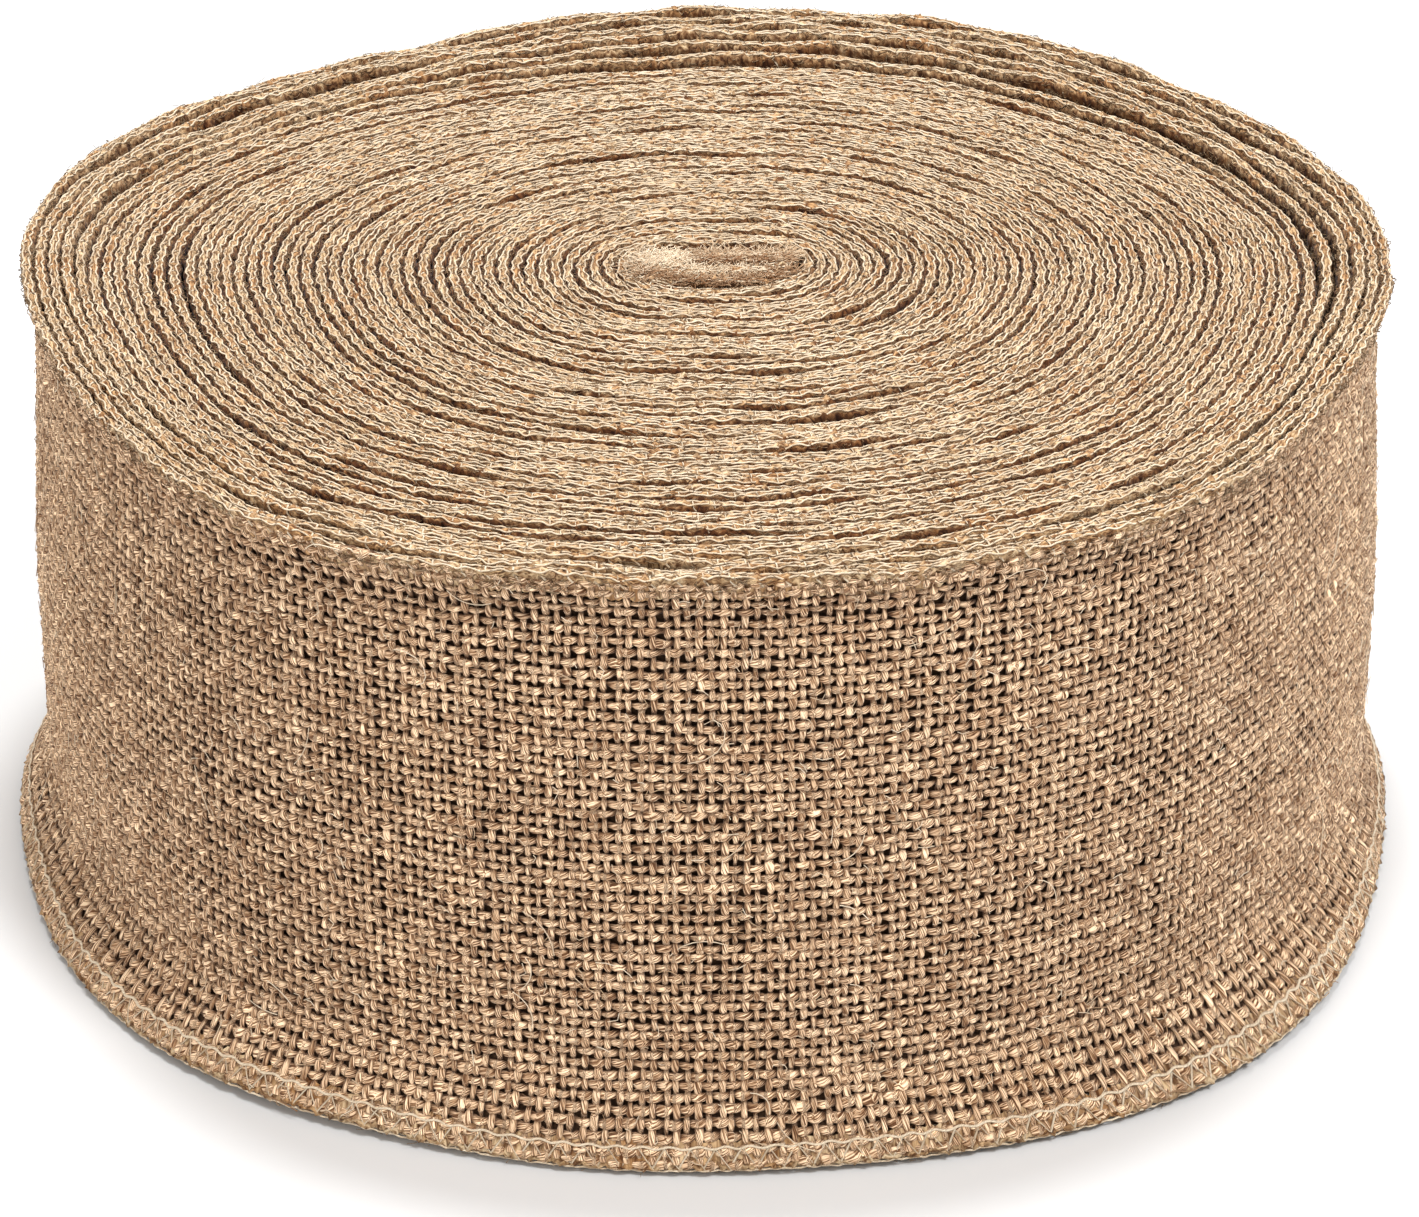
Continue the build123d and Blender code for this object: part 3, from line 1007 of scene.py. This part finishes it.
def build_ramp(coil):
    """Where the strip goes over into a coil from the one inside it."""
    start, stop = (snap(coil_start(coil) + RAMP_ANGLE * side) for side in (-1, 1))
    pieces = stretch(f"ramp_{coil - 1}_{coil}", start, stop)
    blend_all(pieces, start, stop)


def build_wall():
    """The outermost turn's weave, from where it starts to show to the free end."""
    columns = np.linspace(outside_start / YARN_PITCH, wall_end / YARN_PITCH, 7).round()
    for index, (first, last) in enumerate(zip(columns[:-1], columns[1:])):
        pieces = weave(f"wall_{index + 1}", first * YARN_PITCH, last * YARN_PITCH, WALL_YARNS)
        ride_all(pieces, f"coil_{COILS}")


def build_tail_segment(segment):
    """A segment of the free end, with its hinge halfway along; its pieces are attached to no body."""
    joint_angle = TAIL_ANGLE + (segment - 1) * SEGMENT_ANGLE
    start, stop = (snap(joint_angle + side * SEGMENT_ANGLE / 2) for side in (-1, 1))
    name = f"tail_{segment}"
    pieces = stretch(name, start, stop, name, True, FREE_RECESS) + weave(name, start, stop, FREE_YARNS)
    blend_all(pieces, start, stop)


def build_free_end():
    """What is left of the free end beyond the last hinge's bend."""
    start, stop = snap(END_ANGLE - SEGMENT_ANGLE / 2), path.length
    pieces = stretch("free_end", start, stop, None, True, FREE_RECESS)
    ride_all(pieces + weave("free_end", start, stop, FREE_YARNS), f"tail_{TAIL_SEGMENTS}")


# clumps of fibres in the folded end, from its middle: x, y, spread in x and y, and height, all in
# millimetres, with how many fibres and the lowest and highest tone of each
TUFTS = [(-12, 3.5, 6.5, 5, 1.2, 1900, 0.6, 1.0), (-16, -1, 2.5, 7, 2.0, 400, 0.2, 0.9)]
for tuft_x in (-2.2, 2.6, 8.6, 13.0):
    TUFTS.append((tuft_x, 2.4, 2.6, 1.6, 1.2, 260, 0.0, 0.25))
    TUFTS.append((tuft_x, 5.0, 2.3, 2.6, 2.2, 320, 0.3, 0.75))
for tuft_x, tuft_y in ((-14, -4), (-10, -6), (-5, -7.5), (0, -8), (5, -7.5), (10, -6), (14, -3)):
    TUFTS.append((tuft_x, tuft_y, 3.6, 1.6, 1.4, 220, 0.0, 0.4))
TUFTS.append((2, -3, 14, 3.5, 1.4, 700, 0.4, 1.0))


def tuft(strands, x, y, width, depth, tall, count, low_tone, high_tone):
    """A clump of short fibres in the folded end."""
    spread = random.normal(0, 0.4, (2, count))
    t = np.linspace(0, 1, 4)[None]
    base_x, base_y = x + width * spread[0], y + depth * spread[1]
    lean = random.normal(0, 0.9, (2, count)) * tall
    curl = random.normal(0, 0.5, (2, count)) * tall
    at_x = base_x[:, None] + lean[0][:, None] * t + curl[0][:, None] * t**2
    at_y = base_y[:, None] + lean[1][:, None] * t + curl[1][:, None] * t**2
    top = RIBBON_WIDTH + random.uniform(-0.6, 0.5, count)[:, None] * MM
    at_z = top - tall * (1 - t) ** 2 * random.uniform(0.6, 1.4, count)[:, None]
    tone = random.uniform(low_tone, high_tone, count)[:, None] + 0 * t
    strands.tubes(at_x, at_y, at_z, 0.09 * MM, 3, tone, to_space=as_is)


def build_tufts():
    """All clumps of the folded end, as one piece."""
    tufts = Strands()
    middle_x, middle_y = np.array([FOLD_X, FOLD_Y]) + OFF_CENTRE
    for x, y, width, depth, tall, count, low_tone, high_tone in TUFTS:
        at = middle_x + x * MM, middle_y + y * MM
        tuft(tufts, *at, width * MM, depth * MM, tall * MM, count, low_tone, high_tone)
    ride_all([tufts.piece("fold_tufts", HAIR, "burlap")], "coil_1")


ride_all(stretch("fold", 0.0, winding_start, "folded_end"), "coil_1")
for number in range(1, COILS + 1):
    build_coil(number)
    if number > 1:
        build_ramp(number)
build_wall()
for number in range(1, TAIL_SEGMENTS + 1):
    build_tail_segment(number)
build_free_end()
build_tufts()

# ---------------------------------------------------------------- floor, light and camera

FLOOR_COLOUR = (0.74, 0.745, 0.75, 1)
MIDDLE = (0, 0, RIBBON_WIDTH / 2)
# name, place, size in metres, power in watts, colour
LAMPS = (
    ("key", (0.95, -0.95, 1.95), 0.6, 32, (1, 1, 1)),
    ("overhead", (0.0, 0.28, 1.9), 0.4, 31, (1, 1, 1)),
    ("fill", (-1.6, -1.5, 1.0), 1.2, 12.5, (1.0, 0.92, 0.84)),
)
SKY_STRENGTH = 0.52
# the camera looks at the roll from the front; its distance is from the middle of the top face
CAMERA_X, CAMERA_DISTANCE = 0.0009, 1.0
CAMERA_ELEVATION, CAMERA_PITCH = radians(23.8), radians(27.87)
SENSOR_WIDTH, FOCAL_LENGTH = 36, 122.05497  # millimetres


def build_floor():
    bpy.ops.mesh.primitive_plane_add(size=12, location=(0, 0, -0.0003))
    floor = bpy.context.object
    floor.name = "floor"
    shader = Shader("studio_floor")
    shader.surface.inputs["Base Color"].default_value = FLOOR_COLOUR
    shader.surface.inputs["Roughness"].default_value = 0.9
    floor.data.materials.append(shader.material)


def add_lamp(name, location, size, power, colour):
    light = bpy.data.lights.new(name, "AREA")
    light.shape, light.size, light.energy, light.color = "DISK", size, power, colour
    lamp = bpy.data.objects.new(name, light)
    lamp.location = location
    lamp.rotation_euler = (Vector(MIDDLE) - Vector(location)).to_track_quat("-Z", "Y").to_euler()
    bpy.context.scene.collection.objects.link(lamp)


def add_sky():
    world = bpy.data.worlds.new("studio")
    world.use_nodes = True
    background = world.node_tree.nodes["Background"]
    background.inputs["Color"].default_value = (1, 1, 1, 1)
    background.inputs["Strength"].default_value = SKY_STRENGTH
    bpy.context.scene.world = world


def add_camera():
    camera_data = bpy.data.cameras.new("camera")
    camera_data.sensor_width, camera_data.lens = SENSOR_WIDTH, FOCAL_LENGTH
    camera = bpy.data.objects.new("camera", camera_data)
    back = CAMERA_DISTANCE * cos(CAMERA_ELEVATION)
    up = CAMERA_DISTANCE * sin(CAMERA_ELEVATION)
    camera.location = (CAMERA_X, -back, RIBBON_WIDTH + up)
    camera.rotation_euler = (pi / 2 - CAMERA_PITCH, 0, 0)
    bpy.context.scene.collection.objects.link(camera)
    bpy.context.scene.camera = camera


build_floor()
for lamp in LAMPS:
    add_lamp(*lamp)
add_sky()
add_camera()
bpy.context.scene.view_settings.view_transform = "Standard"
